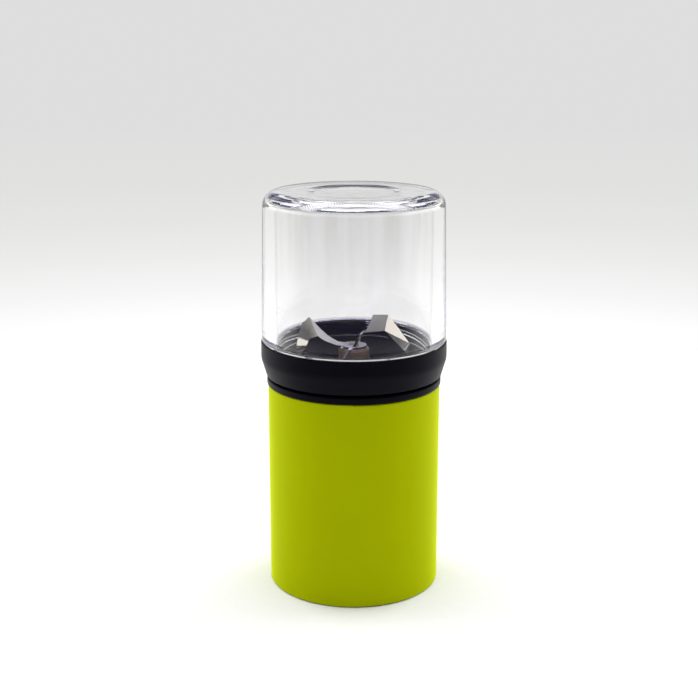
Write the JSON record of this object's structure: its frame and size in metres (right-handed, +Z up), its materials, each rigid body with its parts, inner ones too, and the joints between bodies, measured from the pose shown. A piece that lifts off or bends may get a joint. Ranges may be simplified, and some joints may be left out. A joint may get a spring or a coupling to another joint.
{
  "type": "blade grinder",
  "caption": "Cordless blade grinder: a clear screw-on jar over a bent steel blade in a black collar, on a green motor base. The cup presses down to run and lifts off.",
  "frame": {"origin": "middle of the foot ring, on the surface that the grinder stands on", "axes": "+Z up along the motor and blade axis, -Y towards the viewer of the picture, charging socket on +Y"},
  "size_m": [0.0754, 0.0754, 0.1626],
  "materials": {
    "green_plastic": "satin moulded",
    "black_plastic": "fine moulded texture",
    "clear_jar": "clear, polished",
    "blade_steel": "mirror polished stainless steel",
    "turned_steel": "fine turned",
    "zinc_steel": "zinc plated",
    "bronze": "sintered",
    "seal_rubber": "moulded",
    "coupling_plastic": "moulded nylon",
    "motor_steel": "nickel plated",
    "core_steel": "stacked laminations",
    "copper": "enamelled wire",
    "magnet": "ferrite",
    "carbon": "pressed carbon",
    "cell_wrap": "shrink wrap",
    "nickel": "rolled strip",
    "foam": "closed-cell foam",
    "board_green": "solder mask",
    "chip_black": "moulded",
    "grey_plastic": "moulded",
    "light_pipe": "clear",
    "lead_red": "soft insulation"
  },
  "bodies": {
    "base": {"press_springs": "zinc_steel", "micro_switch": "chip_black", "body_sleeve": "green_plastic", "top_deck": "black_plastic", "deck_seal": "seal_rubber", "deck_screws": "zinc_steel", "deck_shaft_seal": "seal_rubber", "bottom_cover": "black_plastic", "bottom_screws": "zinc_steel", "foot_ring": "seal_rubber", "motor_bracket": "grey_plastic", "tie_posts": "grey_plastic", "cell_tray": "grey_plastic", "motor_can": "motor_steel", "motor_magnets": "magnet", "motor_end_cap": "chip_black", "motor_bushings": "bronze", "motor_terminals": "nickel", "motor_brushes": "carbon", "motor_screws": "zinc_steel", "battery_cells": "cell_wrap", "battery_tabs": "nickel", "cell_pads": "foam", "control_board": "board_green", "board_parts": "chip_black", "charging_socket": "motor_steel", "charge_light_pipe": "light_pipe", "motor_leads": "lead_red", "cell_leads": "lead_red", "switch_leads": "lead_red"},
    "rotor": {"motor_shaft": "turned_steel", "armature_core": "core_steel", "armature_windings": "copper", "commutator": "copper", "drive_coupling": "coupling_plastic"},
    "press": {"press_ring": "black_plastic", "press_leg_clips": "zinc_steel"},
    "plunger": {"switch_plunger": "grey_plastic"},
    "cup": {"blade_collar": "black_plastic", "bearing_sleeve": "turned_steel", "sleeve_nut": "zinc_steel", "upper_bushing": "bronze", "lower_bushing": "bronze", "shaft_seal": "seal_rubber"},
    "blade_rotor": {"blade": "blade_steel", "thrust_washer": "turned_steel", "blade_shaft": "turned_steel", "retaining_clip": "zinc_steel", "driven_coupling": "coupling_plastic"},
    "gasket": {"jar_gasket": "seal_rubber"},
    "jar": {"jar": "clear_jar"}
  },
  "joints": [
    {"name": "motor_spin", "type": "hinge", "parent": "base", "child": "rotor", "pos_m": [0, 0, 0.07], "axis": [0, 0, 1], "continuous": true},
    {"name": "press", "type": "slide", "parent": "base", "child": "press", "axis": [0, 0, 1], "range_m": [-0.0007, 0], "stiffness_N_per_m": 4000, "springref_m": 0.0025, "deforming": ["press_springs"]},
    {"name": "switch_travel", "type": "slide", "parent": "base", "child": "plunger", "axis": [0, 0, 1], "range_m": [-0.0007, 0]},
    {"name": "cup_lift", "type": "slide", "parent": "press", "child": "cup", "axis": [0, 0, 1], "range_m": [0, 0.04]},
    {"name": "blade_spin", "type": "hinge", "parent": "cup", "child": "blade_rotor", "pos_m": [0, 0, 0.095], "axis": [0, 0, 1], "continuous": true},
    {"name": "jar_lift", "type": "slide", "parent": "cup", "child": "gasket", "axis": [0, 0, 1], "range_m": [0, 0.00801]},
    {"name": "jar_turn", "type": "hinge", "parent": "gasket", "child": "jar", "pos_m": [0, 0, 0.13], "axis": [0, 0, 1], "range_deg": [0, 240]}
  ],
  "couplings": [
    {"joint": "blade_spin", "follows": "motor_spin", "ratio": 1},
    {"joint": "switch_travel", "follows": "press", "ratio": 1},
    {"joint": "jar_lift", "follows": "jar_turn", "m_per_rad": 0.0019099}
  ]
}
